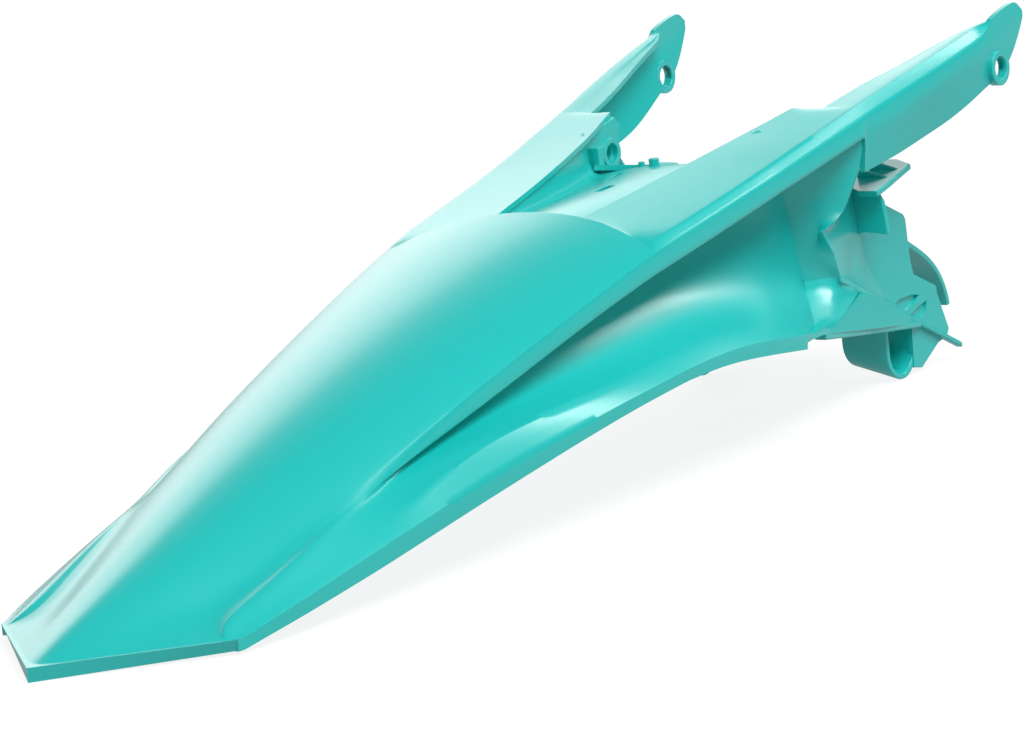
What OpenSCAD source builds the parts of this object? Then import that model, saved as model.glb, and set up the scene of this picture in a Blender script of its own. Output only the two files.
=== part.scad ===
// Rear fender of an off-road motorcycle, one moulded shell.
// Millimetres. +X points to the front of the motorcycle, +Y to its left, +Z up.
// The part stands on its tail point, the strap loop on the right and the foot on the left.
// The tables count from the tail point; the origin is in the middle of the box, at its bottom.

/* [Wall] */
// wall of the crown, flanks and arms
wall = 2.6;  // [2:0.1:4]
// wall of the inner brackets and side plates
plate = 3;  // [2:0.1:5]

/* [Bolt holes] */
// radius of the hole at the end of each arm
arm_hole_r = 5.7;  // [3:0.1:8]
// distance of the arm hole from the front end of the arm
arm_hole_back = 26.5;  // [20:0.5:34]
// distance of the arm hole below the top of the arm's tip
arm_hole_drop = 30.8;  // [25:0.1:36]
// radius of the raised ring round the arm hole
arm_ring_r = 9;  // [7:0.1:11]
// distance from the middle to the outer face of that ring
arm_ring_y = 104.6;  // [103.8:0.1:106]
// thickness of the arm at that ring
arm_ring_t = 5.2;  // [4:0.1:8]
// radius of the bolt hole in each seat bracket
seat_hole_r = 3.5;  // [3:0.1:6]
// radius of the counterbore in each seat bracket
seat_bore_r = 4.9;  // [4:0.1:8]
// distance of the seat bolt hole from the rear edge of its bracket
seat_hole_fore = 29;  // [22:0.5:36]
// distance of the seat bolt hole above the foot of its bracket
seat_hole_rise = 19;  // [14:0.5:25]

/* [Strap loop] */
// width of the strap loop across the fender
loop_w = 27;  // [20:0.5:34]
// distance from the middle to the outer face of each side plate
loop_y = 62;  // [56:0.5:68]
// thickness of the strap
loop_t = 3;  // [2:0.1:5]

/* [Hidden] */
$fn = 40;

teal = [0.16, 0.78, 0.76];
// middle of the part along the fender, where the origin is
mid_x = 340.75;
// front end and top of the arms, and the bolt holes that follow from them
arm_end_x = 681.5;
arm_top_z = 182;
arm_hole_x = arm_end_x - arm_hole_back;
arm_hole_z = arm_top_z - arm_hole_drop;
// rear edge and foot of the seat brackets, and their bolt holes
bracket_x = 498;
bracket_z = 112;
seat_hole_x = bracket_x + seat_hole_fore;
seat_hole_z = bracket_z + seat_hole_rise;

// Side curves. Each row is station along the fender, then the value there.
// half width of the lower rim
RIM_Y = [[57.5, 65.3], [72, 68.6], [92, 72.2], [115, 75.5], [140, 79], [168, 82], [200, 85], [240, 88],
  [282, 90.8], [322, 93], [350, 94], [400, 95], [440, 95], [466, 94], [470, 92.5], [500, 85], [520, 82]];
// top and bottom of the lower rim
RIM_T = [[57.5, 6.7], [80, 11.6], [105, 17.3], [135, 24.2], [165, 30.4], [200, 37.2], [240, 43.4],
  [280, 48.5], [325, 53.4], [362, 56.6], [395, 58.4], [420, 57.6], [440, 55.1], [466, 51.6],
  [470, 51.2], [500, 45.6], [520, 43]];
RIM_B = [[57.5, 1.7], [80, 5.4], [105, 10.2], [135, 15.8], [165, 21.7], [200, 28.4], [235, 34.4],
  [280, 41.7], [325, 47.9], [362, 51.2], [395, 52.2], [415, 50.6], [440, 47.8], [466, 44.5],
  [470, 47.6], [500, 42.4], [520, 39.6]];
// fold between the flank and the rim panel
FOLD_Z = [[57.5, 8], [140, 32], [168, 39.5], [200, 49], [235, 54.6], [280, 57], [325, 58.8], [362, 61.6],
  [402, 64.6], [436, 61], [471, 56.2], [500, 51], [520, 48]];
// ridge that bounds the crown
RIDGE_Y = [[40, 42], [62, 45.6], [98, 51], [128, 53.6], [143, 55], [200, 60.5], [250, 66], [300, 71.5],
  [361, 78], [400, 81], [470, 85.6], [545, 92.6], [570, 96], [601, 100], [624, 102.5], [646, 103.6],
  [700, 104.6]];
RIDGE_Z = [[40, 10.4], [62, 14.8], [99, 25.3], [128, 35], [153, 43.6], [200, 60.2], [239, 73],
  [277, 84.4], [321, 97.2], [344, 103.6], [363, 108.6], [381, 112.8], [403, 117], [468, 129.3],
  [497, 135.9], [527, 142.4], [569, 152], [603, 160], [646, 170], [700, 182]];
// lower edge of the skirt below the ridge
SKIRT_Z = [[162, 41.5], [197, 53], [240, 64.6], [276, 75.2], [325, 89.4], [365, 99.4], [407, 107.6],
  [439, 113.9], [485, 123.4], [537, 134.6], [538.4, 134.8], [540.6, 117.6], [549, 118.6], [570, 121.5],
  [597, 127],
  [620, 132.2], [643, 142.2], [653, 145.8], [663.5, 150.4], [671.5, 158.2], [679, 168.8],
  [681.5, 173.5]];
// depth of the flute and of the pocket under the skirt, as half width
DEEP_Y = [[57.5, 44], [105, 50], [140, 52.5], [168, 53.4], [200, 54], [240, 54.6], [282, 55], [322, 55.4],
  [362, 55], [400, 54], [440, 54], [480, 55.4], [505, 57.4], [545, 58], [580, 58]];
// centre line of the crown
CROWN_Z = [[0, 6.3], [22, 13.4], [50, 23.2], [82, 34.4], [115, 46.2], [150, 58.8], [190, 72.4],
  [235, 87], [280, 100.6], [325, 113.2], [360, 122], [382, 126.9], [400, 130]];
// top of the rounded outer edge of each arm
ARM_Z = [[350, 109], [373, 114.6], [405, 120.6], [455, 130.6], [485, 137.5], [514, 144.4], [544, 151.6],
  [571, 158.2], [603, 165.5], [627, 170.7], [646, 174.8], [651, 175.4]];
// free inner edge of each arm
INNER_Y = [[360, 22], [382, 25], [393, 27], [436, 33.4], [471, 39.8], [502, 45.8], [512, 48.6],
  [534.4, 54.2], [538.4, 69], [557, 71.8], [572, 74.8], [582, 77.6], [595, 81.4], [612, 85.4],
  [642, 92.6], [651, 98.4]];
INNER_Z = [[382, 121.8], [393, 123.7], [436, 130.9], [471, 137.4], [502, 143.5], [512, 145.6],
  [534.4, 150.8], [538.4, 149.6], [557, 153.9], [572, 157.6], [595, 162.2], [612, 166.6],
  [642, 173], [651, 175.2]];
// half width at the lower edge of the skirt and of each arm
SKIRT_Y = [[538.4, 92.6], [540.6, 88.8], [549, 89.4], [570, 91.2], [592, 92.4], [605, 93.8], [625, 97.6],
  [643, 100.5], [652.5, 102], [661, 102.6], [669.5, 103.4], [681.5, 104.4]];
// crease along the outer face of each arm
CREASE_Z = [[539, 141], [541, 140.5], [545, 139.5], [549, 138.4], [582, 147.3], [612, 155],
  [641, 162.2], [658, 166], [665, 169.6], [672, 173], [679, 175], [681.5, 176]];
// top edge of the arm beyond the end of its flange
ARM_TOP = [[646, 174.8], [651, 175.4], [657, 177], [665, 180.6], [671, 182], [676, 181.8], [681.5, 178.6]];
// fold strength, 0 at the tail where the side is one smooth panel, 1 where the flute is full
FOLD = [[100, 0], [140, 0.3], [168, 0.62], [200, 0.95], [235, 1], [700, 1]];

// stations, as centre x, side x and the power of the sweep between them
STATIONS = [[0, 57.5, 1], [2.8, 60, 1], [3.3, 60.5, 1], [22, 72, 1.15], [50, 92, 1.35], [82, 115, 1.5],
  [115, 140, 1.65], [150, 168, 1.8], [190, 202, 2], [235, 241, 2], [280, 281, 2], [325, 320, 2],
  [358, 344, 2], [378.6, 361, 2.4], [382, 364, 2.4], [385, 367.5, 2.4], [402, 390, 1.6], [420, 414, 1],
  [443, 441, 1], [466, 466, 1], [470, 470, 1], [486, 486, 1], [503, 503, 1], [520, 520, 1],
  [534.4, 534.4, 1], [538.4, 538.4, 1], [540.6, 540.6, 1], [549, 549, 1], [560, 560, 1],
  [575, 575, 1], [597, 597, 1], [612, 612, 1], [630, 630, 1], [642, 642, 1], [651, 651, 1],
  [657, 657, 1], [665, 665, 1], [671, 671, 1], [676, 676, 1], [679.6, 679.6, 1], [681.5, 681.5, 1]];
CREST = 14;
RIM_END = 23;
SKIRT_END = 25;
FLANGE_END = 34;
// share of the half width at which each point of the section sits
SHARE = [0, 0.17, 0.34, 0.5, 0.64, 0.76, 0.84, 0.88, 0.88, 0.88, 0.8, 0.8, 0.84, 0.9, 0.95, 1, 1];
Q = 16;

function mix(a, b, f) = a + (b - a) * f;
function clamp01(v) = max(0, min(1, v));
function share(i, q) = i < 3 ? BAR[q] : SHARE[q];
function sx(i, q) = let (s = STATIONS[i], e = s[2]) s[0] + (s[1] - s[0]) * pow(share(i, q), e);
function arm_side(i) = i > CREST;

// rounded crown from the centre to the ridge
function crown_z(i, q, y) = let (x = sx(i, q), yr = lookup(sx(i, 7), RIDGE_Y), u = min(1, y / yr),
  zc = lookup(sx(i, 0), CROWN_Z), zr = lookup(sx(i, 7), RIDGE_Z)) zr + (zc - zr) * (1 - pow(u, 2.1));

// outer half section, point q of station i, as x, half width, height
function straight(i, f) = let (a = lookup(sx(i, 7), RIDGE_Y), b = lookup(sx(i, 15), RIM_Y),
  c = lookup(sx(i, 7), RIDGE_Z), d = lookup(sx(i, 15), RIM_T)) [mix(a, b, f), mix(c, d, f)];
function folded(i, q) = let (yr = lookup(sx(i, 7), RIDGE_Y), zs = lookup(sx(i, 9), SKIRT_Z),
  zr = lookup(sx(i, 7), RIDGE_Z), yu = lookup(sx(i, 10), DEEP_Y),
  yf = lookup(sx(i, 14), RIM_Y) - 7, zf = lookup(sx(i, 14), FOLD_Z))
  q == 8 ? [yr + 0.5, mix(zr, zs, 0.5)] : q == 9 ? [yr + 0.3, zs] :
  q == 10 ? [yu + 4, zs + 0.6] : q == 11 ? [yu, zs - 3] :
  q == 12 ? [mix(yu, yf, 0.08), mix(zs - 3, zf, 0.38)] :
  q == 13 ? [mix(yu, yf, 0.42), mix(zs - 3, zf, 0.76)] : [yf, zf];
LINE = [0, 0, 0, 0, 0, 0, 0, 0, 0.07, 0.14, 0.21, 0.3, 0.46, 0.64, 0.82];
function side_pt(i, q) = let (x = sx(i, 7), f = lookup(x, FOLD)) mix(straight(i, LINE[q]), folded(i, q), f);
function arm_pt(i, q) = let (x = sx(i, q), yr = lookup(x, RIDGE_Y), yi = lookup(x, INNER_Y),
  zi = lookup(x, INNER_Z), za = lookup(x, ARM_Z), zr = lookup(x, RIDGE_Z), zs = lookup(x, SKIRT_Z))
  q <= 3 ? [yi, zi] : q == 4 ? [mix(yi, yr - 5, 0.45), mix(zi, za, 0.42)] :
  q == 5 ? [max(yi + 1, yr - 10), mix(zi, za, 0.86)] : q == 6 ? [yr - 4, za] :
  q == 7 ? [yr, x > 651 ? lookup(x, ARM_TOP) : min(zr, za - 0.5)] :
  q == 8 ? (i > SKIRT_END ? [yr + 0.3, lookup(x, CREASE_Z)] : [yr + 0.5, mix(zr, zs, 0.5)]) :
  [i >= SKIRT_END ? lookup(x, SKIRT_Y) : yr + 0.4, zs];
function half(i, q) =
  !arm_side(i) ? (q < 7 ? let (y = SHARE[q] / 0.88 * lookup(sx(i, 7), RIDGE_Y)) [y, crown_z(i, q, y)] :
    q == 7 ? [lookup(sx(i, 7), RIDGE_Y), lookup(sx(i, 7), RIDGE_Z)] :
    q == 15 ? [lookup(sx(i, 15), RIM_Y), lookup(sx(i, 15), RIM_T)] :
    q == 16 ? [lookup(sx(i, 16), RIM_Y) - 0.3, lookup(sx(i, 16), RIM_B)] : side_pt(i, q)) :
  q < 10 ? arm_pt(i, q) :
  q == 15 ? [lookup(sx(i, 15), RIM_Y), lookup(sx(i, 15), RIM_T)] :
  q == 16 ? [lookup(sx(i, 16), RIM_Y) - 0.3, lookup(sx(i, 16), RIM_B)] : folded(i, q);

// the tail edge is a straight folded bar from the centre point to each corner
BAR = [0, 0.17, 0.34, 0.5, 0.64, 0.76, 0.83, 0.87, 0.885, 0.9, 0.915, 0.93, 0.945, 0.96, 0.975, 1, 1];
function bar_w(i) = lookup(STATIONS[i][1], RIM_Y);
// front end of the flank, where it meets the wall that closes the pocket
FRONT = [[512.1, 57, 122.3], [517, 57.5, 99.2], [518, 62, 67], [495.4, 80, 51.8], [475, 91, 50.5],
  [474, 90.7, 47]];
function in_front(i, q) = i > 19 && i < 24 && q > 10;
function front(i, q) = let (b = half(19, q), f = (i - 19) / 4, a = FRONT[q - 11],
  z = q == 16 ? 47.6 : b[1]) [mix(b[0], a[1], f), mix(z, a[2], f)];
function px(i, q) = in_front(i, q) ? mix(466, FRONT[q - 11][0], (i - 19) / 4) : sx(i, q);
function outer(i, q) = in_front(i, q) ? front(i, q)
  : i < 3 ? (q < 15 ? [BAR[q] * bar_w(i), mix(6.3, 6.7, BAR[q])] :
  [bar_w(i), q == 15 ? 6.9 : 1.7]) : half(i, q);

// inner half section, one wall thickness inside
function nrm(a, b) = let (d = b - a, l = max(norm(d), 0.001)) [-d[1], d[0]] / l;
function mitre(i, q) = let (p = outer(i, q),
  n1 = q > 0 ? nrm(outer(i, q - 1), p) : [0, 1],
  n2 = q == 0 ? [0, 1] : q < Q ? nrm(p, outer(i, q + 1)) : n1,
  m = (n1 + n2) / max(1 + n1 * n2, 0.55)) p - wall * m;
function inner_arm(i, q) = let (p = outer(i, q)) i > FLANGE_END || (i == FLANGE_END && q > 6) ?
  [p[0] - wall, p[1]] : q == 3 ? p - [0, wall] : q == 9 && i >= SKIRT_END ? [p[0] - wall, p[1]] : mitre(i, q);
PULL = [0, 0, 0, 0, 0, 0, 0, 0.25, 0.7, 1, 1, 1, 0.6, 0.25, 0, 0, 0];
function inner_tail(i, q) = let (s = straight(i, LINE[min(q, 14)]), t = straight(i, 1),
  d = max(0, s[0] - outer(i, min(q, 14))[0]), a = atan2(s[1] - t[1], t[0] - s[0]))
  q == 7 ? mitre(i, q) - [wall * 0.4, 0.2] :
  s - [wall * sin(a), wall * cos(a)] - [max(d, PULL[q] * lookup(sx(i, 7), [[100, 0], [202, 7]])), 0];
function inner(i, q) = i < 3 ? let (s = BAR[q], v = bar_w(i) - 2.4) (q < 15 ?
    [s * v, i < 2 ? mix(0, 1.7, s) : mix(3.5, 4, s)] : q == 15 ? [v, i < 2 ? 1.75 : 4] : [v + 0.2, 1.65]) :
  i <= 8 && q >= 7 && q <= 13 ? inner_tail(i, q) :
  i == CREST || i == CREST - 1 ? (q < 7 ? outer(i, q) - [0, i == CREST ? 7 : 7.4] : mitre(i, q)) :
  i > CREST && q < 10 ? inner_arm(i, q) : mitre(i, q);

// which cells of the grid are solid
function solid(i, k) = let (q = k < Q ? Q - 1 - k : k - Q)
  i < 0 || i >= len(STATIONS) - 1 || k < 0 || k >= 2 * Q ? false :
  i < CREST ? true : i < RIM_END ? q >= 3 : i < SKIRT_END ? q >= 3 && q < 11 :
  i < FLANGE_END ? q >= 3 && q < 9 : q >= 7 && q < 9;

// closed thick sheet from two grids of points and a mask of solid cells
module sheet(n, c, pts, solid) {
  function o(i, k) = 2 * (i * c + k);
  function w(i, k) = 2 * (i * c + k) + 1;
  function on(i, k) = i >= 0 && i < n - 1 && k >= 0 && k < c - 1 && solid[i][k];
  function quad(a, b, d, e, f) = f ? [[a, b, d], [a, d, e]] : [[a, b, e], [b, d, e]];
  faces = [for (i = [0:n - 2], k = [0:c - 2]) if (on(i, k)) each let (f = 2 * k < c - 1) concat(
    quad(o(i, k), o(i, k + 1), o(i + 1, k + 1), o(i + 1, k), f),
    quad(w(i, k), w(i + 1, k), w(i + 1, k + 1), w(i, k + 1), f),
    on(i, k - 1) ? [] : quad(w(i, k), o(i, k), o(i + 1, k), w(i + 1, k), true),
    on(i, k + 1) ? [] : quad(w(i, k + 1), w(i + 1, k + 1), o(i + 1, k + 1), o(i, k + 1), true),
    on(i - 1, k) ? [] : quad(o(i, k + 1), o(i, k), w(i, k), w(i, k + 1), !f),
    on(i + 1, k) ? [] : quad(w(i + 1, k + 1), w(i + 1, k), o(i + 1, k), o(i + 1, k + 1), !f))];
  polyhedron(points = pts, faces = faces, convexity = 10);
}
function full(n, c) = [for (i = [1:n - 1]) [for (k = [1:c - 1]) true]];
module both() { children(); mirror([0, 1, 0]) children(); }

function put(i, k, p) = let (q = abs(k - Q), s = k < Q ? -1 : 1) [px(i, q), s * p[0], p[1]];
module shell() {
  n = len(STATIONS);
  sheet(n, 2 * Q + 1, [for (i = [0:n - 1], k = [0:2 * Q]) each
    [put(i, k, outer(i, abs(k - Q))), put(i, k, inner(i, abs(k - Q)))]],
    [for (i = [0:n - 2]) [for (k = [0:2 * Q - 1]) solid(i, k)]]);
}

// channel between the arms, where the back of the seat sits
CHANNEL = [[376.5, 23.6, 122.3, 119], [400, 28, 123.6, 118.6], [430, 32.5, 125.2, 118.8],
  [460, 37.7, 127, 119.6], [486, 42.6, 128.6, 121.4], [503, 46.4, 129.6, 123.4], [512, 48.9, 128, 122.6]];
function chan(r, k) = let (s = k < 4 ? -1 : 1, q = abs(k - 4), t = CHANNEL[r],
  bow = [0, 0, 0.3, 1, 1][q] * (r == 6 ? -6 : r == 5 ? -2 : 0)) [t[0] + bow,
  s * [0, 0.5, 0.86, 1.03, 1.05][q] * t[1], [t[2], mix(t[2], t[3], 0.25), mix(t[2], t[3], 0.8), t[3] + 0.5,
  lookup(t[0], INNER_Z) - 0.8][q]];
function chan_under(r, k) = chan(r, k) + [0, (k < 4 ? -1 : 1) * [0, 0.3, 0.6, 2.6, 2.8][abs(k - 4)],
  [-2.8, -2.8, -2.8, -2.6, -0.4][abs(k - 4)]];
module channel() difference() {
  sheet(7, 9, [for (r = [0:6], k = [0:8]) each [chan(r, k), chan_under(r, k)]], full(7, 9));
  translate([452, 5, 120]) cube([13, 5, 20], center = true);
  both() translate([486, 21, 120]) cube([10, 4.4, 20], center = true);
}

// pins on the front lip of the channel
module pins() {
  translate([503, 9.1, 124]) cylinder(r = 2.6, h = 8);
  translate([505, 18, 122]) cylinder(r = 1.7, h = 8);
}

// wall that guides the wheel spray forward and down, between the side plates
GUARD = [[505, 128.6], [520, 124], [545, 112], [580, 93], [612, 77.5], [620.4, 73.8], [624, 72.2],
  [634, 67.4],
  [646, 61.4], [657, 54.6], [665.4, 47.4], [671, 39.5], [674.6, 31], [675.6, 25]];
module guard() {
  n = len(GUARD);
  wide = [47, 49, 61, 61, 61, 61, 53, 51, 50, 50, 50, 50, 50, 50];
  sheet(n, 3, [for (i = [0:n - 1], k = [0:2]) let (y = (k - 1) * wide[i], a = GUARD[max(i - 1, 0)],
    b = GUARD[min(i + 1, n - 1)], l = norm(b - a), g = [b[1] - a[1], a[0] - b[0]] / l) each
    [[GUARD[i][0], y, GUARD[i][1]], [GUARD[i][0] + plate * g[0], y, GUARD[i][1] + plate * g[1]]]],
    full(n, 3));
}

// bracket with the counterbored bolt hole, inside of each arm
BRACKET = [[bracket_x, 118], [501, 140.5], [512, 144.6], [526, 148], [533.7, 149.9], [538, 146],
  [536.5, 137], [534, 129], [541, 121], [545, 113], [520, bracket_z]];
module bracket() {
  translate([0, 54.4, 0]) rotate([90, 0, 0]) linear_extrude(plate) polygon(BRACKET);
  translate([508, 45.5, 117]) cube([5, 6.5, 24.5]);
}

// plate in front of the pocket, rows of height, rear x and y, front x and y
CHEEK = [[134.5, 539.5, 90.6, 548, 88], [120, 538.4, 87, 556, 78], [111, 534.2, 84.3, 566, 66],
  [105, 532, 82.4, 568, 63.4], [100, 530, 80.6, 568, 63.4], [95.5, 525, 78.2, 568.4, 63.6],
  [92, 517.5, 75.3, 569, 64.2], [86, 522.5, 74.7, 570, 64.2], [79, 528.5, 74.2, 572, 63.6],
  [72, 531, 73.7, 574, 63.2], [66, 534.6, 73, 576, 62.8], [56, 552, 71.4, 583, 62.4],
    [44, 574, 67.6, 595, 61.8]];
module cheek() {
  n = len(CHEEK);
  sheet(n, 4, [for (r = [0:n - 1], k = [0:3]) let (c = CHEEK[n - 1 - r], f = k / 3,
    x = mix(c[1], c[3], f), y = mix(c[2], c[4], f) - 5 * f * (1 - f)) each
    [[x, y, c[0]], [x + 0.6, y - plate, c[0] - 0.3]]], full(n, 4));
}
// wall that closes the front of the pocket, rows of inner edge and outer edge
CLOSE = [[[511, 56.4, 134], [539.5, 90.8, 134.5]], [[511, 56.4, 122], [538.4, 87.2, 120]],
  [[513, 56.6, 113], [534.2, 84.5, 111]], [[514, 56.7, 108.5], [532, 82.6, 105]],
  [[515.2, 56.8, 103], [530, 80.8, 100]], [[516.1, 57.2, 97], [525, 78.4, 95.5]],
  [[516.3, 58, 91], [517.5, 75.5, 92]], [[516.5, 58.9, 85], [522.5, 74.9, 86]],
  [[516.6, 59.7, 79], [528.5, 74.4, 79]], [[516.8, 60.6, 73], [531, 73.9, 72]],
  [[517.4, 62.4, 67.2], [534.6, 73.2, 66]], [[510.6, 67.8, 62], [543, 72.4, 61]],
  [[503.2, 73.6, 57], [552, 71.6, 56]], [[492, 81.3, 50.6], [528, 78.3, 50.6]],
  [[471.5, 90.45, 49.54], [505, 83.9, 46.3]], [[470.8, 90.75, 47], [500, 84.6, 43.2]]];
function free_edge(r) = let (n = len(CLOSE) - 1) (CLOSE[max(r - 2, 0)][1] + CLOSE[max(r - 1, 0)][1] +
  CLOSE[r][1] + CLOSE[min(r + 1, n)][1] + CLOSE[min(r + 2, n)][1]) / 5;
module pocket_front() {
  n = len(CLOSE);
  sheet(n, 4, [for (r = [0:n - 1], k = [0:3]) let (i = n - 1 - r, c = CLOSE[i], f = k / 3,
    p = mix(c[0], k == 3 ? c[1] : free_edge(i), f)) each [p, p + [plate, -0.8, 0.2]]], full(n, 4));
}

// straight bar between two rectangles that stand across the fender
module bar(a, b, wa, wb, h) {
  polyhedron(points = [for (s = [[a, wa], [b, wb]], d = [[0, 0, 0], [0, 1, 0], [0, 1, h], [0, 0, h]])
    s[0] + [0, d[1] * s[1], d[2]]], faces = [[0, 1, 2, 3], [7, 6, 5, 4],
    [0, 4, 5, 1], [1, 5, 6, 2], [2, 6, 7, 3], [3, 7, 4, 0]]);
}
// lower lip, gusset and blade between the flank and the side plate
module lower() {
  bar([496.8, 78, 42.6], [557.2, 67.4, 32.9], 7.4, 6.4, 3.6);
  bar([553.6, 57.6, 33.4], [621, 57.6, 23.6], 16.2, 6.9, 3.5);
  polyhedron(points = [[555, 72, 55], [498, 85.4, 45], [617, 64.6, 26], [596, 63.4, 42],
    [555, 68.5, 55], [498, 81.8, 45], [617, 61, 26], [596, 60, 42]],
    faces = [[0, 1, 2], [0, 2, 3], [4, 6, 5], [4, 7, 6], [0, 4, 5], [0, 5, 1], [1, 5, 6], [1, 6, 2],
      [2, 6, 7], [2, 7, 3], [3, 7, 4], [3, 4, 0]]);
  bar([533.4, 69.6, 64], [593.7, 60.9, 37.7], 4.2, 4.4, 3.9);
  bar([589.3, 60.7, 39.9], [659.5, 60.6, 5.3], 4.1, 4.3, 2.9);
}

// side plate, its edge line in side view
SIDE = [[560, 108], [572, 105], [594, 98], [600, 91], [617, 83], [619, 80], [620, 59], [622, 51],
  [643, 41], [643.5, 37], [652, 17], [650, 13.6], [640, 11.6], [622, 2.4], [614, 4], [615, 26], [596, 26],
  [594, 40], [560, 52]];
// two shallow leaf-shaped recesses beside the blade
LEAVES = [[[601.5, 39.4], [606.2, 40.9], [618.2, 40.9], [625.2, 39.5], [619.6, 36.5], [611, 34]],
  [[615.5, 31], [623, 33.4], [632.5, 35.3], [630.8, 31.1], [626, 27.4]]];
module side_plate(foot) difference() {
  translate([0, loop_y, 0]) rotate([90, 0, 0]) linear_extrude(plate) {
    polygon(SIDE);
    if (foot) {
      translate([604, 14]) circle(r = 14);
      translate([590, 14]) square([28, 24]);
    }
  }
  for (leaf = LEAVES) translate([0, loop_y + 1, 0]) rotate([90, 0, 0]) linear_extrude(2.4) polygon(leaf);
}

// strap loop on the right, open to the side, its floor rising inwards
module loop() translate([0, -loop_y, 0])
  multmatrix([[1, 0, 0, 0], [0, 1, 0, 0], [0, 0.26, 1, 0], [0, 0, 0, 1]])
  translate([0, loop_w, 0]) rotate([90, 0, 0]) linear_extrude(loop_w) difference() {
    union() {
      translate([604, 14]) circle(r = 14);
      translate([590, 14]) square([28, 16]);
    }
    translate([604, 14]) circle(r = 14 - loop_t);
    translate([590 + loop_t, 14]) square([28 - 2 * loop_t, 12]);
  }

// tab with two gussets above the side plate, and the boxed web under it
module tab() {
  translate([567, 60, 103.4]) rotate([0, -13, 0]) {
    linear_extrude(plate) polygon([[0.5, 0], [-7, 12], [-7, 23], [0.5, 23.4], [28.6, 22.7],
      [35.4, 11], [34, 0]]);
    for (g = [[11.2, 2, 18.4, 4.8], [21.4, 3, 17.4, 5.4]]) translate([g[0] + 0.9, g[1], plate - 0.4])
      rotate([0, -90, 0]) linear_extrude(1.8) polygon([[0, 0], [g[3], 0], [g[3], 2.4], [0, g[2]]]);
  }
  translate([568, 60, 80]) rotate([90, 0, 90]) linear_extrude(plate)
    polygon([[0, 0], [8, 2.6], [22, 1.4], [21, 12], [20.2, 18], [17.6, 22.6], [17.6, 26], [0, 26]]);
}

module ring(x, z, r, y, h) translate([x, y, z]) rotate([90, 0, 0]) cylinder(r = r, h = h);

// the moulding without its round bosses, joined as one surface
module moulding() resize([0, 0, 0]) union() {
  shell();
  channel();
  pins();
  guard();
  both() {
    bracket();
    cheek();
    pocket_front();
    lower();
    tab();
  }
  side_plate(true);
  mirror([0, 1, 0]) side_plate(false);
  loop();
}

module fender() color(teal) difference() {
  union() {
    moulding();
    both() {
      ring(arm_hole_x, arm_hole_z, arm_ring_r, arm_ring_y, arm_ring_t);
      ring(seat_hole_x, seat_hole_z, seat_bore_r + 2.8, 63, 13);
    }
  }
  both() {
    ring(arm_hole_x, arm_hole_z, arm_hole_r, 130, 60);
    ring(seat_hole_x, seat_hole_z, seat_hole_r, 61, 13);
    ring(seat_hole_x, seat_hole_z, seat_bore_r, 53.2, 6);
  }
}

translate([-mid_x, 0, 0]) fender();
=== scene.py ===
# Looks of the rear fender. Lengths are metres in Blender; the tables below are millimetres from the tail point.
import math

import bmesh
import bpy
import numpy as np
from mathutils import Matrix, Vector

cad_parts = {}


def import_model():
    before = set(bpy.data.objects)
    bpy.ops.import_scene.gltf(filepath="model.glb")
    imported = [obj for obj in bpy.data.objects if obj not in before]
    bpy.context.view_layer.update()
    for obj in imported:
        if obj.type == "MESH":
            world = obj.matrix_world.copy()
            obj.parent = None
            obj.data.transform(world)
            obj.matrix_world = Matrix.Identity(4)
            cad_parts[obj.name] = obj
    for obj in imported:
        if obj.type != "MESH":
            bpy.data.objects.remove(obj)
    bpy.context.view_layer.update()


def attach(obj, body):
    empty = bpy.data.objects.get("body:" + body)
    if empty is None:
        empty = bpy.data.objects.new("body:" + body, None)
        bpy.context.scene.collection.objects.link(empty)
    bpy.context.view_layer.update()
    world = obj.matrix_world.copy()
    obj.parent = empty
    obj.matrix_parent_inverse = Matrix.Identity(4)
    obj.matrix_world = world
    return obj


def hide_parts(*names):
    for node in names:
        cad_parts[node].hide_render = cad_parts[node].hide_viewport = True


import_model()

MID = 340.75
WALL = 2.6
PLATE = 3.0

# curves and outlines, station first
RIM_Y = [[57.5, 65.3], [72, 68.6], [92, 72.2], [115, 75.5], [140, 79], [168, 82], [200, 85], [240, 88], [282, 90.8],
    [322, 93], [350, 94], [400, 95], [440, 95], [466, 94], [470, 92.5], [500, 85], [520, 82]]
RIM_T = [[57.5, 6.7], [80, 11.6], [105, 17.3], [135, 24.2], [165, 30.4], [200, 37.2], [240, 43.4], [280, 48.5],
    [325, 53.4], [362, 56.6], [395, 58.4], [420, 57.6], [440, 55.1], [466, 51.6], [470, 51.2], [500, 45.6], [520,
    43]]
RIM_B = [[57.5, 1.7], [80, 5.4], [105, 10.2], [135, 15.8], [165, 21.7], [200, 28.4], [235, 34.4], [280, 41.7], [325,
    47.9], [362, 51.2], [395, 52.2], [415, 50.6], [440, 47.8], [466, 44.5], [470, 47.6], [500, 42.4], [520, 39.6]]
FOLD_Z = [[57.5, 8], [140, 32], [168, 39.5], [200, 49], [235, 54.6], [280, 57], [325, 58.8], [362, 61.6], [402,
    64.6], [436, 61], [471, 56.2], [500, 51], [520, 48]]
RIDGE_Y = [[40, 42], [62, 45.6], [98, 51], [128, 53.6], [143, 55], [200, 60.5], [250, 66], [300, 71.5], [361, 78],
    [400, 81], [470, 85.6], [545, 92.6], [570, 96], [601, 100], [624, 102.5], [646, 103.6], [700, 104.6]]
RIDGE_Z = [[40, 8.6], [62, 12.2], [99, 24.2], [128, 35], [153, 43.6], [200, 60.2], [239, 73], [277, 84.4], [321,
    97.2], [344, 103.6], [363, 108.6], [381, 112.8], [403, 117], [468, 129.3], [497, 135.9], [527, 142.4], [569,
    152], [603, 160], [646, 170], [700, 182]]
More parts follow.
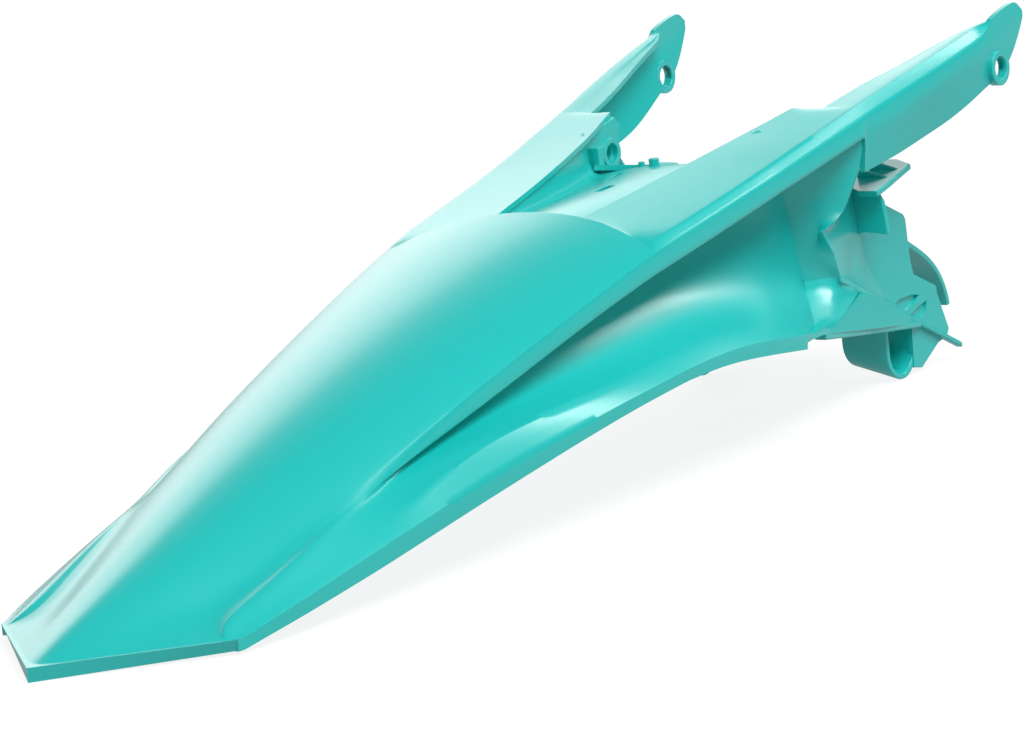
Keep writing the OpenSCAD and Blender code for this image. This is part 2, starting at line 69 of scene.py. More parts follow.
SKIRT_Z = [[162, 41.5], [197, 53], [240, 64.6], [276, 75.2], [325, 89.4], [365, 99.4], [407, 107.6], [439, 113.9],
    [485, 123.4], [537, 134.6], [538.4, 134.8], [540.6, 117.6], [549, 118.6], [570, 121.5], [597, 127], [620,
    132.2], [643, 142.2], [653, 145.8], [663.5, 150.4], [671.5, 158.2], [679, 168.8], [681.5, 173.5]]
DEEP_Y = [[57.5, 44], [105, 50], [140, 52.5], [168, 53.4], [200, 54], [240, 54.6], [282, 55], [322, 55.4], [362,
    55], [400, 54], [440, 54], [480, 55.4], [505, 57.4], [545, 58], [580, 58]]
CROWN_Z = [[0, 6.3], [22, 13.4], [50, 23.2], [82, 34.4], [115, 46.2], [150, 58.8], [190, 72.4], [235, 87], [280,
    100.6], [325, 113.2], [360, 122], [382, 126.9], [400, 130]]
ARM_Z = [[350, 109], [373, 114.6], [405, 120.6], [455, 130.6], [485, 137.5], [514, 144.4], [544, 151.6], [571,
    158.2], [603, 165.5], [627, 170.7], [646, 174.8], [651, 175.4]]
INNER_Y = [[360, 22], [382, 25], [393, 27], [436, 33.4], [471, 39.8], [502, 45.8], [512, 48.6], [534.4, 54.2],
    [538.4, 69], [557, 71.8], [572, 74.8], [582, 77.6], [595, 81.4], [612, 85.4], [642, 92.6], [651, 98.4]]
INNER_Z = [[382, 121.8], [393, 123.7], [436, 130.9], [471, 137.4], [502, 143.5], [512, 145.6], [534.4, 150.8],
    [538.4, 149.6], [557, 153.9], [572, 157.6], [595, 162.2], [612, 166.6], [642, 173], [651, 175.2]]
SKIRT_Y = [[538.4, 92.6], [540.6, 88.8], [549, 89.4], [570, 91.2], [592, 92.4], [605, 93.8], [625, 97.6], [643,
    100.5], [652.5, 102], [661, 102.6], [669.5, 103.4], [681.5, 104.4]]
CREASE_Z = [[539, 141], [541, 140.5], [545, 139.5], [549, 138.4], [582, 147.3], [612, 155], [641, 162.2], [658,
    166], [665, 169.6], [672, 173], [679, 175], [681.5, 176]]
ARM_TOP = [[646, 175.4], [651, 176.6], [657, 178.8], [665, 180.7], [671, 182], [676, 182], [681.5, 177.2]]
FOLD = [[100, 0], [140, 0.3], [168, 0.62], [200, 0.95], [235, 1], [700, 1]]
STATIONS = [[0, 57.5, 1], [2.8, 60, 1], [3.3, 60.5, 1], [22, 72, 1.15], [50, 92, 1.35], [82, 115, 1.5], [115, 140,
    1.65], [150, 168, 1.8], [190, 202, 2], [235, 241, 2], [280, 281, 2], [325, 320, 2], [358, 344, 2], [378.6, 361,
    2.4], [382, 364, 2.4], [385, 367.5, 2.4], [402, 390, 1.6], [420, 414, 1], [443, 441, 1], [466, 466, 1], [470,
    470, 1], [486, 486, 1], [503, 503, 1], [520, 520, 1], [534.4, 534.4, 1], [538.4, 538.4, 1], [540.6, 540.6, 1],
    [549, 549, 1], [560, 560, 1], [575, 575, 1], [597, 597, 1], [612, 612, 1], [630, 630, 1], [642, 642, 1], [651,
    651, 1], [657, 657, 1], [665, 665, 1], [671, 671, 1], [676, 676, 1], [679.6, 679.6, 1], [681.5, 681.5, 1]]
SHARE = [0, 0.17, 0.34, 0.5, 0.64, 0.76, 0.84, 0.88, 0.88, 0.88, 0.8, 0.8, 0.84, 0.9, 0.95, 1, 1]
BAR = [0, 0.17, 0.34, 0.5, 0.64, 0.76, 0.83, 0.87, 0.885, 0.9, 0.915, 0.93, 0.945, 0.96, 0.975, 1, 1]
FRONT = [[512.1, 57, 122.3], [517, 57.5, 99.2], [518, 62, 67], [495.4, 80, 51.8], [475, 91, 50.5], [474, 90.7, 47]]
PULL = [0, 0, 0, 0, 0, 0, 0, 0.25, 0.7, 1, 1, 1, 0.6, 0.25, 0, 0, 0]
LINE = [0, 0, 0, 0, 0, 0, 0, 0, 0.07, 0.14, 0.21, 0.3, 0.46, 0.64, 0.82]
CHANNEL = [[376.5, 23.6, 122.3, 119], [400, 28, 123.6, 118.6], [430, 32.5, 125.2, 118.8], [460, 37.7, 127, 119.6],
    [486, 42.6, 128.6, 121.4], [503, 46.4, 129.6, 123.4], [512, 48.9, 128, 122.6]]
GUARD = [[505, 128.6], [520, 124], [545, 112], [580, 93], [612, 77.5], [620.4, 73.8], [624, 72.2], [634, 67.4],
    [646, 61.4], [657, 54.6], [665.4, 47.4], [671, 39.5], [674.6, 31], [675.6, 25]]
BRACKET = [[498, 118], [501, 140.5], [512, 144.6], [526, 148], [533.7, 149.9], [538, 146], [536.5, 137], [534, 129],
    [541, 121], [545, 113], [520, 112]]
CHEEK = [[134.5, 539.5, 90.6, 548, 88], [120, 538.4, 87, 556, 78], [111, 534.2, 84.3, 566, 66], [105, 532, 82.4,
    568, 63.4], [100, 530, 80.6, 568, 63.4], [95.5, 525, 78.2, 568.4, 63.6], [92, 517.5, 75.3, 569, 64.2], [86,
    522.5, 74.7, 570, 64.2], [79, 528.5, 74.2, 572, 63.6], [72, 531, 73.7, 574, 63.2], [66, 534.6, 73, 576, 62.8],
    [56, 552, 71.4, 583, 62.4], [44, 574, 67.6, 595, 61.8]]
CLOSE = [[[511, 56.4, 134], [539.5, 90.8, 134.5]], [[511, 56.4, 122], [538.4, 87.2, 120]], [[513, 56.6, 113],
    [534.2, 84.5, 111]], [[514, 56.7, 108.5], [532, 82.6, 105]], [[515.2, 56.8, 103], [530, 80.8, 100]], [[516.1,
    57.2, 97], [525, 78.4, 95.5]], [[516.3, 58, 91], [517.5, 75.5, 92]], [[516.5, 58.9, 85], [522.5, 74.9, 86]],
    [[516.6, 59.7, 79], [528.5, 74.4, 79]], [[516.8, 60.6, 73], [531, 73.9, 72]], [[517.4, 62.4, 67.2], [534.6,
    73.2, 66]], [[510.6, 67.8, 62], [543, 72.4, 61]], [[503.2, 73.6, 57], [552, 71.6, 56]], [[492, 81.3, 50.6],
    [528, 78.3, 50.6]], [[471.5, 90.45, 49.54], [505, 83.9, 46.3]], [[470.8, 90.75, 47], [500, 84.6, 43.2]]]
SIDE = [[560, 108], [572, 105], [594, 98], [600, 91], [617, 83], [619, 80], [620, 59], [622, 51], [643, 41], [643.5,
    37], [652, 17], [650, 13.6], [640, 11.6], [622, 2.4], [614, 4], [615, 26], [596, 26], [594, 40], [560, 52]]
LEAVES = [[[601.5, 39.4], [606.2, 40.9], [618.2, 40.9], [625.2, 39.5], [619.6, 36.5], [611, 34]], [[615.5, 31],
    [623, 33.4], [632.5, 35.3], [630.8, 31.1], [626, 27.4]]]
CREST, RIM_END, SKIRT_END, FLANGE_END, Q = 14, 23, 25, 34, 16


def look(x, table):
    if x <= table[0][0]:
        return table[0][1]
    for a, b in zip(table, table[1:]):
        if x <= b[0]:
            return a[1] + (b[1] - a[1]) * (x - a[0]) / (b[0] - a[0])
    return table[-1][1]


def mix(a, b, f):
    return a + (b - a) * f


def v2(a, b):
    return np.array([a, b], float)


def sx(i, q):
    s = STATIONS[i]
    return s[0] + (s[1] - s[0]) * (BAR[q] if i < 3 else SHARE[q]) ** s[2]


def crown_z(i, q, y):
    yr, zc, zr = look(sx(i, 7), RIDGE_Y), look(sx(i, 0), CROWN_Z), look(sx(i, 7), RIDGE_Z)
    return zr + (zc - zr) * (1 - min(1, y / yr) ** 2.1)


def straight(i, f):
    x, r = sx(i, 7), sx(i, 15)
    return v2(mix(look(x, RIDGE_Y), look(r, RIM_Y), f), mix(look(x, RIDGE_Z), look(r, RIM_T), f))


def folded(i, q):
    x = sx(i, 7)
    yr, zr, zs = look(x, RIDGE_Y), look(x, RIDGE_Z), look(sx(i, 9), SKIRT_Z)
    yu, yf, zf = look(sx(i, 10), DEEP_Y), look(sx(i, 14), RIM_Y) - 7, look(sx(i, 14), FOLD_Z)
    return {8: v2(yr + 0.5, mix(zr, zs, 0.5)), 9: v2(yr + 0.3, zs), 10: v2(yu + 4, zs + 0.6),
            11: v2(yu, zs - 3), 12: v2(mix(yu, yf, 0.08), mix(zs - 3, zf, 0.38)),
            13: v2(mix(yu, yf, 0.42), mix(zs - 3, zf, 0.76)), 14: v2(yf, zf)}[q]


def side_pt(i, q):
    return mix(straight(i, LINE[q]), folded(i, q), look(sx(i, 7), FOLD))


def arm_pt(i, q):
    x = sx(i, q)
    yr, yi, zi, za = look(x, RIDGE_Y), look(x, INNER_Y), look(x, INNER_Z), look(x, ARM_Z)
    zr, zs = look(x, RIDGE_Z), look(x, SKIRT_Z)
    if q <= 3:
        return v2(yi, zi)
    if q == 4:
        return v2(mix(yi, yr - 5, 0.45), mix(zi, za, 0.42))
    if q == 5:
        return v2(max(yi + 1, yr - 10), mix(zi, za, 0.86))
    if q == 6:
        return v2(yr - 4, za)
    if q == 7:
        return v2(yr, look(x, ARM_TOP) if x > 650 else min(zr, za - 0.5))
    if q == 8:
        return v2(yr + 0.3, look(x, CREASE_Z)) if i > SKIRT_END else v2(yr + 0.5, mix(zr, zs, 0.5))
    return v2(look(x, SKIRT_Y) if i >= SKIRT_END else yr + 0.4, zs)


def rim_pt(i, q):
    x = sx(i, q)
    return v2(look(x, RIM_Y), look(x, RIM_T)) if q == 15 else v2(look(x, RIM_Y) - 0.3, look(x, RIM_B))


def half(i, q):
    if q >= 15:
        return rim_pt(i, q)
    if i > CREST:
        return arm_pt(i, q) if q < 10 else folded(i, q)
    x = sx(i, 7)
    if q < 7:
        y = SHARE[q] / 0.88 * look(x, RIDGE_Y)
        return v2(y, crown_z(i, q, y))
    return v2(look(x, RIDGE_Y), look(x, RIDGE_Z)) if q == 7 else side_pt(i, q)


def in_front(i, q):
    return 19 < i < 24 and q > 10


def px(i, q):
    return mix(466, FRONT[q - 11][0], (i - 19) / 4) if in_front(i, q) else sx(i, q)


def outer(i, q):
    if in_front(i, q):
        b, f, a = half(19, q), (i - 19) / 4, FRONT[q - 11]
        return v2(mix(b[0], a[1], f), mix(47.6 if q == 16 else b[1], a[2], f))
    if i < 3:
        w = look(STATIONS[i][1], RIM_Y)
        return v2(BAR[q] * w, mix(6.3, 6.7, BAR[q])) if q < 15 else v2(w, 6.9 if q == 15 else 1.7)
    return half(i, q)


def nrm(a, b):
    d = b - a
    return v2(-d[1], d[0]) / max(math.hypot(*d), 0.001)


def mitre(i, q):
    p = outer(i, q)
    n1 = nrm(outer(i, q - 1), p) if q > 0 else v2(0, 1)
    n2 = v2(0, 1) if q == 0 else nrm(p, outer(i, q + 1)) if q < Q else n1
    return p - WALL * (n1 + n2) / max(1 + n1.dot(n2), 0.55)


def inner(i, q):
    p = outer(i, q)
    if i < 3:
        s, v = BAR[q], look(STATIONS[i][1], RIM_Y) - 2.4
        if q < 15:
            return v2(s * v, mix(0, 1.7, s) if i < 2 else mix(3.5, 4, s))
        return v2(v, 1.75 if i < 2 else 4) if q == 15 else v2(v + 0.2, 1.65)
    if i <= 8 and 7 <= q <= 13:
        if q == 7:
            return mitre(i, q) - v2(WALL * 0.4, 0.2)
        s, t = straight(i, LINE[min(q, 14)]), straight(i, 1)
        d = max(0, s[0] - outer(i, min(q, 14))[0])
        a = math.atan2(s[1] - t[1], t[0] - s[0])
        pull = PULL[q] * look(sx(i, 7), [[100, 0], [202, 7]])
        return s - WALL * v2(math.sin(a), math.cos(a)) - v2(max(d, pull), 0)
    if i in (CREST - 1, CREST):
        return p - v2(0, 7 if i == CREST else 7.4) if q < 7 else mitre(i, q)
    if i > CREST and q < 10:
        if i > FLANGE_END or (i == FLANGE_END and q > 6) or (q == 9 and i >= SKIRT_END):
            return p - v2(WALL, 0)
        return p - v2(0, WALL) if q == 3 else mitre(i, q)
    return mitre(i, q)


def solid(i, k):
    q = Q - 1 - k if k < Q else k - Q
    if i < CREST:
        return True
    if i < RIM_END:
        return q >= 3
    if i < SKIRT_END:
        return 3 <= q < 11
    return 3 <= q < 9 if i < FLANGE_END else 7 <= q < 9


def obj(name, bm, smooth=True):
    bmesh.ops.recalc_face_normals(bm, faces=bm.faces)
    for f in bm.faces:
        f.smooth = smooth
    me = bpy.data.meshes.new(name)
    bm.to_mesh(me)
    bm.free()
    o = bpy.data.objects.new(name, me)
    bpy.context.scene.collection.objects.link(o)
    return o


PARTS = []


def done(o, width=0.6, angle=32, cuts=(), subsurf=0, segments=2):
    """Adds the modifiers, applies them and keeps the piece."""
    if subsurf:
        m = o.modifiers.new("s", "SUBSURF")
        m.levels = m.render_levels = subsurf
        m.boundary_smooth = "PRESERVE_CORNERS"
    for c in cuts:
        m = o.modifiers.new("c", "BOOLEAN")
        m.operation, m.object, m.solver = "DIFFERENCE", c, "EXACT"
    if cuts and not subsurf:
        o.modifiers.new("t", "TRIANGULATE")
    if width:
        m = o.modifiers.new("b", "BEVEL")
        m.width, m.segments, m.limit_method = width, segments, "ANGLE"
        m.angle_limit = math.radians(angle)
        m.harden_normals = True
    me = bpy.data.meshes.new_from_object(o.evaluated_get(bpy.context.evaluated_depsgraph_get()))
    old = o.data
    o.modifiers.clear()
    o.data = me
    bpy.data.meshes.remove(old)
    PARTS.append(o)
    return o


def sheet(name, grid, mask=None, crease=None, edge=1.0, **kw):
    """Closed thick sheet. grid[i][k] is a pair of points, the outer and the inner one."""
    n, c = len(grid), len(grid[0])
    bm = bmesh.new()
    lay = bm.edges.layers.float.new("crease_edge")
    sharp = bm.verts.layers.float.new("crease_vert")
    verts, where = {}, {}

    def v(i, k, s):
        if (i, k, s) not in verts:
            verts[i, k, s] = bm.verts.new(grid[i][k][s])
            where[verts[i, k, s]] = (i, k, s)
        return verts[i, k, s]

    def on(i, k):
        return 0 <= i < n - 1 and 0 <= k < c - 1 and (mask is None or mask(i, k))

    walls = []
    for i in range(n - 1):
        for k in range(c - 1):
            if not on(i, k):
                continue
            for s in (0, 1):
                bm.faces.new([v(i, k, s), v(i, k + 1, s), v(i + 1, k + 1, s), v(i + 1, k, s)])
            for a, b, free in (((i, k), (i + 1, k), not on(i, k - 1)), ((i, k + 1), (i + 1, k + 1), not on(i, k + 1)),
                               ((i, k), (i, k + 1), not on(i - 1, k)), ((i + 1, k), (i + 1, k + 1), not on(i + 1, k))):
                if free:
                    walls.append(bm.faces.new([v(*a, 0), v(*b, 0), v(*b, 1), v(*a, 1)]))
    for f in walls:
        for e in f.edges:
            if where[e.verts[0]][2] == where[e.verts[1]][2]:
                e[lay] = edge
            elif len(e.link_faces) == 2 and sum(g in walls for g in e.link_faces) == 2:
                a, b = e.link_faces
                a.normal_update()
                b.normal_update()
                if a.normal.length and b.normal.length and abs(a.normal.dot(b.normal)) < 0.75:
                    e[lay] = edge
    for p in verts.values():
        i, k, t = where[p]
        ends = [on(i + a, k + b) for a, b in ((-1, -1), (-1, 0), (0, -1), (0, 0))]
        p[sharp] = 1.0 if sum(ends) == 1 else 0.0
    if crease:
        for e in bm.edges:
            (i, k, s), (j, l, t) = (where[p] for p in e.verts)
            if s == t:
                e[lay] = max(e[lay], crease("across" if i == j else "along", min(i, j), min(k, l), s))
    return done(obj(name, bm), **kw)


def prism(name, poly, place, height, holes=(), **kw):
    """Plate with the outline poly, from 0 to height, put in place by a function of (a, b, h)."""
    bm = bmesh.new()
    low = [bm.verts.new(place(a, b, 0)) for a, b in poly]
    top = [bm.verts.new(place(a, b, height)) for a, b in poly]
    bm.faces.new(low)
    bm.faces.new(top[::-1])
    for j in range(len(poly)):
        bm.faces.new([low[j], low[j - 1], top[j - 1], top[j]])
    return done(obj(name, bm), **kw)


def hexa(name, p, **kw):
    bm = bmesh.new()
    v = [bm.verts.new(q) for q in p]
    for f in ((0, 1, 2, 3), (7, 6, 5, 4), (0, 4, 5, 1), (1, 5, 6, 2), (2, 6, 7, 3), (3, 7, 4, 0)):
        bm.faces.new([v[a] for a in f])
    return done(obj(name, bm), **kw)


def bar(name, a, b, wa, wb, h, side, **kw):
    pts = [(s[0], s[1] + d * w, s[2] + e) for s, w in ((a, wa), (b, wb)) for d, e in ((0, 0), (1, 0), (1, h), (0, h))]
    return hexa(name, [(x, side * y, z) for x, y, z in pts], **kw)


def lathe(name, profile, x, z, side, n=64, **kw):
    """Ring round an axis across the fender. The profile is radius and half width."""
    bm = bmesh.new()
    rings = [[bm.verts.new((x + r * math.cos(2 * math.pi * j / n), side * y, z + r * math.sin(2 * math.pi * j / n)))
              for r, y in profile] for j in range(n)]
    m = len(profile)
    for j in range(n):
        for k in range(m):
            bm.faces.new([rings[j - 1][k - 1], rings[j - 1][k], rings[j][k], rings[j][k - 1]])
    return done(obj(name, bm), **kw)


def cutter(name, kind, loc, size, rot=None):
    bm = bmesh.new()
    if kind == "round":
        bmesh.ops.create_cone(bm, cap_ends=True, segments=64, radius1=size[0], radius2=size[0], depth=size[1],
                              matrix=Matrix.Translation(loc) @ Matrix.Rotation(math.pi / 2, 4, "X"))
    else:
        bmesh.ops.create_cube(bm, size=1, matrix=Matrix.Translation(loc) @ Matrix.Diagonal((*size, 1)))
    o = obj(name, bm)
    o.hide_render = True
    CUTTERS.append(o)
    return o


CUTTERS = []

def soften(i, pts):
    """Rounds the ridge off towards the tail, where the photo shows no edge."""
    for _ in range(int(12 * min(1, max(0, (8 - i) / 4))) if i > 2 else 0):
        pts = [pts[q] if not 3 <= q <= 14 else (pts[q - 1] + pts[q + 1]) / 4 + pts[q] / 2 for q in range(Q + 1)]
    return pts


# main shell
GRID = []
for i in range(len(STATIONS)):
    row = []
    skin, back = (soften(i, [f(i, q) for q in range(Q + 1)]) for f in (outer, inner))
    for k in range(2 * Q + 1):
        q, s = abs(k - Q), -1 if k < Q else 1
        x, a, b = px(i, q), skin[q], back[q]
        row.append(((x, s * a[0], a[1]), (x, s * b[0], b[1])))
    GRID.append(row)


def shell_crease(kind, i, k, s):
    if kind == "across":
        if i in (0, 1):
            return 0.6
        return 0.62 if i == CREST and abs(k + 0.5 - Q) < 7 else 0
    q = abs(k - Q)
    if i < 3:
        return 0.8 if q in (15, 16) else 0
    fold = look(STATIONS[i][1], FOLD)
    fade = min(1, max(0, (i - 4) / 5))
    if i > CREST:
        table = {6: 0.6, 7: 0.7, 8: 0.6 if i > SKIRT_END else 0, 9: 0.8, 10: 0.1, 11: 0.3, 14: 0.85, 15: 0.85}
    else:
        table = {7: 0.6 * fade, 9: 0.8 * fold, 11: 0.3 * fold, 14: 0.85 * fold, 15: 0.85}
    return table.get(q, 0)


arm_cut = cutter("arm_cut", "round", (655, 0, 151.2), (5.7, 260))
shell = sheet("shell", GRID, solid, shell_crease, subsurf=2, cuts=[arm_cut], width=0.7, angle=38)

# channel between the arms
chan = []
for r, t in enumerate(CHANNEL):
    row = []
    for k in range(9):
        s, q = -1 if k < 4 else 1, abs(k - 4)
        bow = [0, 0, 0.3, 1, 1][q] * (-6 if r == 6 else -2 if r == 5 else 0)
        a = (t[0] + bow, s * [0, 0.5, 0.86, 1.03, 1.05][q] * t[1],
             [t[2], mix(t[2], t[3], 0.25), mix(t[2], t[3], 0.8), t[3] + 0.5, look(t[0], INNER_Z) - 0.8][q])
        b = (a[0], a[1] + s * [0, 0.3, 0.6, 2.6, 2.8][q], a[2] + [-2.8, -2.8, -2.8, -2.6, -0.4][q])
        row.append((a, b))
    chan.append(row)
slots = [cutter("slot_%d" % n, "box", p, s) for n, (p, s) in enumerate(
    [((452, 5, 120), (13, 5, 20)), ((486, 21, 120), (10, 4.4, 20)), ((486, -21, 120), (10, 4.4, 20))])]
sheet("channel", chan, cuts=slots, subsurf=2, width=0.5)
for x, y, z, r in ((503, 9.1, 124, 2.6), (505, 18, 122, 1.7)):
    bm = bmesh.new()
    bmesh.ops.create_cone(bm, cap_ends=True, segments=40, radius1=r, radius2=r, depth=8,
                          matrix=Matrix.Translation((x, y, z + 4)))
    done(obj("pin", bm), width=0.4)

# guard
wide = [47, 49, 61, 61, 61, 61, 53, 51, 50, 50, 50, 50, 50, 50]
rows = []
for i, g in enumerate(GUARD):
    a, b = GUARD[max(i - 1, 0)], GUARD[min(i + 1, len(GUARD) - 1)]
    l = math.hypot(b[0] - a[0], b[1] - a[1])
    d = (PLATE * (b[1] - a[1]) / l, PLATE * (a[0] - b[0]) / l)
    rows.append([((g[0], y, g[1]), (g[0] + d[0], y, g[1] + d[1])) for y in (-wide[i], 0, wide[i])])
sheet("guard", rows, subsurf=2, width=0.6)

n = len(CLOSE)
free = [sum(np.array(CLOSE[min(max(r + d, 0), n - 1)][1]) for d in (-2, -1, 0, 1, 2)) / 5 for r in range(n)]
for side in (-1, 1):
    def at(p, s=side):
        return (p[0], s * p[1], p[2])

    # wall that closes the pocket, and the plate in front of it
    rows = []
    for r in range(n):
        a, b = (np.array(p, float) for p in CLOSE[r])
        line = [mix(a, b if k == 3 else free[r], k / 3) for k in range(4)]
        rows.append([(at(p), at(p + np.array((PLATE, -0.8, 0.2)))) for p in line])
    sheet("pocket_front", rows, crease=lambda *a: 0.5, subsurf=2, width=0.6)
    rows = []
    for z, x0, y0, x1, y1 in CHEEK:
        line = [(mix(x0, x1, f), mix(y0, y1, f) - 5 * f * (1 - f), z) for f in (0, 1 / 3, 2 / 3, 1)]
        rows.append([(at(p), at((p[0] + 0.6, p[1] - PLATE, p[2] - 0.3))) for p in line])
    sheet("cheek", rows, subsurf=2, width=0.6)

    # seat bracket with its bush
    bore = cutter("bore", "round", (527, side * 56, 131), (6.5, 24))
    prism("bracket", [(a, b - (1.6 if b > 140 else 0)) for a, b in BRACKET], lambda a, b, h, s=side: (a, s * (54.4 - h), b), PLATE, cuts=[bore], width=0.5)
    hexa("rib", [at(p) for p in ((508, 45.5, 117), (513, 45.5, 117), (513, 52, 117), (508, 52, 117),
                                 (508, 45.5, 136.5), (513, 45.5, 137), (513, 52, 137), (508, 52, 136.5))], width=0.6)
    lathe("bush", [(3.5, 61), (3.5, 53.2), (4.9, 53.2), (4.9, 50), (7.7, 50), (7.7, 63), (0.05, 63), (0.05, 61)], 527, 131, side, width=0.35)
    lathe("arm_ring", [(5.7, 99.4), (9, 99.4), (9, 104.6), (5.7, 104.6)], 655, 151.2, side, width=0.5)

    # lips, gusset and blade
    bar("lip", (496.8, 78, 42.6), (557.2, 67.4, 32.9), 7.4, 6.4, 3.6, side, width=0.9)
    bar("lip", (553.6, 57.6, 33.4), (621, 57.6, 23.6), 16.2, 6.9, 3.5, side, width=0.9)
    hexa("gusset", [at(p) for p in ((555, 72, 55), (498, 85.4, 45), (617, 64.6, 26), (596, 63.4, 42),
                                    (555, 68.5, 55), (498, 81.8, 45), (617, 61, 26), (596, 60, 42))], width=0.7)
    bar("blade", (533.4, 69.6, 64), (593.7, 60.9, 37.7), 4.2, 4.4, 3.9, side, width=0.8)
    bar("blade", (589.3, 60.7, 39.9), (659.5, 60.6, 5.3), 4.1, 4.3, 2.9, side, width=0.8)

    # tab with gussets and boxed web
    t = math.radians(13)

    def tilt(a, b, h, s=side):
        return (567 + a * math.cos(t) - h * math.sin(t), s * (60 + b), 103.4 + a * math.sin(t) + h * math.cos(t))

    prism("tab", [(0.5, 0), (-7, 12), (-7, 23), (0.5, 23.4), (28.6, 22.7), (35.4, 11), (34, 0)], tilt, PLATE, width=0.7)
    for gx, gy, gl, gh in ((11.2, 2, 18.4, 4.8), (21.4, 3, 17.4, 5.4)):
        prism("tab_gusset", [(0, 0), (gh, 0), (gh, 2.4), (0, gl)],
              lambda a, b, h, x=gx, y=gy: tilt(x + 0.9 - h, y + b, PLATE - 0.4 + a), 1.8, width=0.4)
    prism("web", [(0, 0), (8, 2.6), (22, 1.4), (21, 12), (20.2, 18), (17.6, 22.6), (17.6, 26), (0, 26)],
          lambda a, b, h, s=side: (568 + h, s * (60 + a), 80 + b), PLATE, width=0.7)

    # side plate
    outline = list(SIDE)
    leaf = [prism("leaf", l, lambda a, b, h, s=side: (a, s * (63 - h), b), 2.7, width=0) for l in LEAVES]
    for l in leaf:
        PARTS.remove(l)
        CUTTERS.append(l)
    prism("side_plate", outline, lambda a, b, h, s=side: (a, s * (62 - h), b), PLATE, cuts=leaf, width=0.3, segments=1)

# foot on the left, strap loop on the right
arc = [(604 + 14 * math.cos(a), 14 + 14 * math.sin(a)) for a in np.linspace(math.pi, 2 * math.pi, 33)]
prism("foot", [(590, 38), *arc, (618, 38)], lambda a, b, h: (a, 62 - h, b), PLATE, width=0.8)


def loop_line(r, top):
    line = [(604 + r * math.cos(a), 14 + r * math.sin(a)) for a in np.linspace(math.pi, 2 * math.pi, 33)]
    return [(604 - r, top), *line, (604 + r, top)]


bm = bmesh.new()
ends = []
for y in (0.5, 27):
    ends.append([[bm.verts.new((x, -62 + y, z + 0.26 * y)) for x, z in loop_line(r, top)]
                 for r, top in ((14, 30), (11, 26))])
m = len(ends[0][0])
for j in range(m):
    for e in ends:
        bm.faces.new([e[0][j - 1], e[0][j], e[1][j], e[1][j - 1]])
    for w in (0, 1):
        bm.faces.new([ends[0][w][j - 1], ends[0][w][j], ends[1][w][j], ends[1][w][j - 1]])
done(obj("strap_loop", bm), width=0.8)

# one piece, in metres, centred like the CAD part
for c in CUTTERS:
    bpy.data.objects.remove(c, do_unlink=True)
bpy.ops.object.select_all(action="DESELECT")
for o in PARTS:
    o.select_set(True)
bpy.context.view_layer.objects.active = PARTS[0]
bpy.ops.object.join()
body = bpy.context.view_layer.objects.active
body.name = "fender_moulding"
body.data.transform(Matrix.Scale(0.001, 4) @ Matrix.Translation((-MID, 0, 0)))
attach(body, "root")
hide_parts("fender")
print("triangles", sum(len(p.vertices) - 2 for p in body.data.polygons))

# material
mat = bpy.data.materials.new("moulding")
mat.use_nodes = True
nt = mat.node_tree
bsdf = nt.nodes["Principled BSDF"]


def node(kind, **values):
    made = nt.nodes.new(kind)
    for key, value in values.items():
        if key in made.inputs:
            made.inputs[key].default_value = value
        else:
            setattr(made, key, value)
    return made


coord = node("ShaderNodeTexCoord")
cloud = node("ShaderNodeTexNoise", Scale=9.0, Detail=3.0, Roughness=0.5)
nt.links.new(coord.outputs["Object"], cloud.inputs["Vector"])
tint = node("ShaderNodeMix", data_type="RGBA")
tint.inputs[6].default_value = (0.004, 0.55, 0.515, 1)
tint.inputs[7].default_value = (0.008, 0.60, 0.565, 1)
nt.links.new(cloud.outputs["Fac"], tint.inputs[0])
nt.links.new(tint.outputs[2], bsdf.inputs["Base Color"])
fine = node("ShaderNodeTexNoise", Scale=420.0, Detail=2.0, Roughness=0.6)
nt.links.new(coord.outputs["Object"], fine.inputs["Vector"])
rough = node("ShaderNodeMapRange")
rough.inputs["To Min"].default_value = 0.36
rough.inputs["To Max"].default_value = 0.46
nt.links.new(fine.outputs["Fac"], rough.inputs["Value"])
nt.links.new(rough.outputs["Result"], bsdf.inputs["Roughness"])
bump = node("ShaderNodeBump", Strength=0.05, Distance=0.0002)
nt.links.new(fine.outputs["Fac"], bump.inputs["Height"])
nt.links.new(bump.outputs["Normal"], bsdf.inputs["Normal"])
bsdf.inputs["IOR"].default_value = 1.5
bsdf.inputs["Coat Weight"].default_value = 0.9
bsdf.inputs["Coat Roughness"].default_value = 0.25
body.data.materials.clear()
body.data.materials.append(mat)

# floor
bm = bmesh.new()
bmesh.ops.create_grid(bm, x_segments=1, y_segments=1, size=6)
floor = obj("floor", bm)
fmat = bpy.data.materials.new("floor")
fmat.use_nodes = True
fb = fmat.node_tree.nodes["Principled BSDF"]
fb.inputs["Base Color"].default_value = (0.16, 0.16, 0.16, 1)
fb.inputs["Roughness"].default_value = 0.8
fb.inputs["Emission Color"].default_value = (1, 1, 1, 1)
fb.inputs["Emission Strength"].default_value = 0.86
fb.inputs["Specular IOR Level"].default_value = 0.2
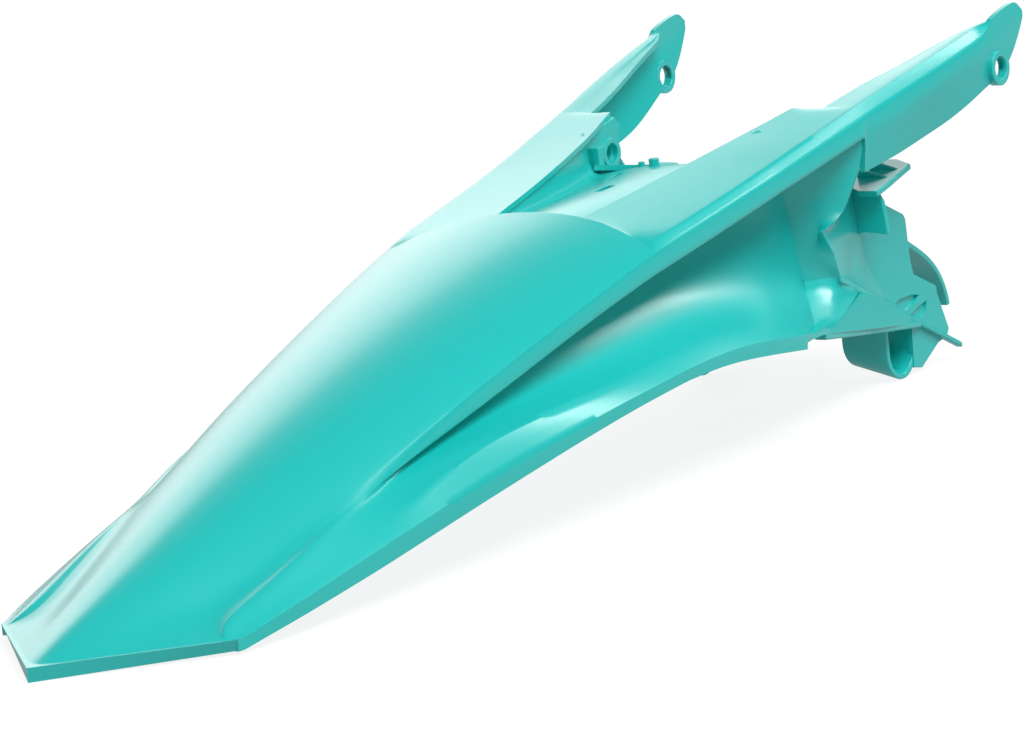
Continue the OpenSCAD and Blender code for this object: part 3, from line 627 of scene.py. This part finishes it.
# white to the camera, dimmer as a light, so that the part's lower faces keep their shade
path = fmat.node_tree.nodes.new("ShaderNodeLightPath")
glow = fmat.node_tree.nodes.new("ShaderNodeMapRange")
glow.inputs["To Min"].default_value = 0.3
glow.inputs["To Max"].default_value = 0.86
fmat.node_tree.links.new(path.outputs["Is Camera Ray"], glow.inputs["Value"])
fmat.node_tree.links.new(glow.outputs["Result"], fb.inputs["Emission Strength"])
floor.data.materials.append(fmat)

# light
world = bpy.data.worlds.new("studio")
bpy.context.scene.world = world
world.use_nodes = True
wb = world.node_tree.nodes["Background"]
wb.inputs["Color"].default_value = (1, 1, 1, 1)
wb.inputs["Strength"].default_value = 0.42
world.cycles_visibility.glossy = False


def area(name, loc, target, size, power, colour=(1, 1, 1)):
    d = bpy.data.lights.new(name, "AREA")
    d.shape, d.size, d.size_y, d.energy, d.color = "RECTANGLE", size[0], size[1], power, colour
    o = bpy.data.objects.new(name, d)
    bpy.context.scene.collection.objects.link(o)
    o.location = loc
    o.rotation_mode = "QUATERNION"
    o.rotation_quaternion = (Vector(target) - Vector(loc)).to_track_quat("-Z", "Y")
    return o


# a wide panel low behind the part, whose reflection whitens the crown's far side and the tops of the arms
area("back", (2.6, 3.6, 1.7), (0, 0, 0.08), (5.6, 2.6), 84).visible_diffuse = False
# key from above on the right, and a small light that draws the near edges
area("key", (-0.5, -1.5, 2.3), (0, 0, 0.1), (1.8, 1.4), 56)
area("edge", (1.6, -0.85, 1.35), (0.1, 0, 0.1), (0.45, 0.45), 9)

# camera at the photo's place
cam = bpy.data.objects.new("camera", bpy.data.cameras.new("camera"))
bpy.context.scene.collection.objects.link(cam)
bpy.context.scene.camera = cam
cam.data.sensor_width = 36
cam.data.lens = 36 * 4450 / 1024
right, up = Vector((0.57573, -0.81059, -0.10713)), Vector((0.20532, 0.01651, 0.97856))
right.normalize()
fwd = up.cross(right).normalized()
up = right.cross(fwd).normalized()
cam.rotation_mode = "QUATERNION"
cam.rotation_quaternion = Matrix((right, up, -fwd)).transposed().to_quaternion()
cam.location = Vector((-1301.18 - MID, -1224.86, 426.52)) / 1000
cam.data.clip_start, cam.data.clip_end = 0.1, 30

sc = bpy.context.scene
sc.render.engine = "CYCLES"
sc.render.resolution_x, sc.render.resolution_y = 1024, 731
sc.cycles.samples = 96
sc.cycles.use_denoising = True
sc.view_settings.view_transform = "Standard"
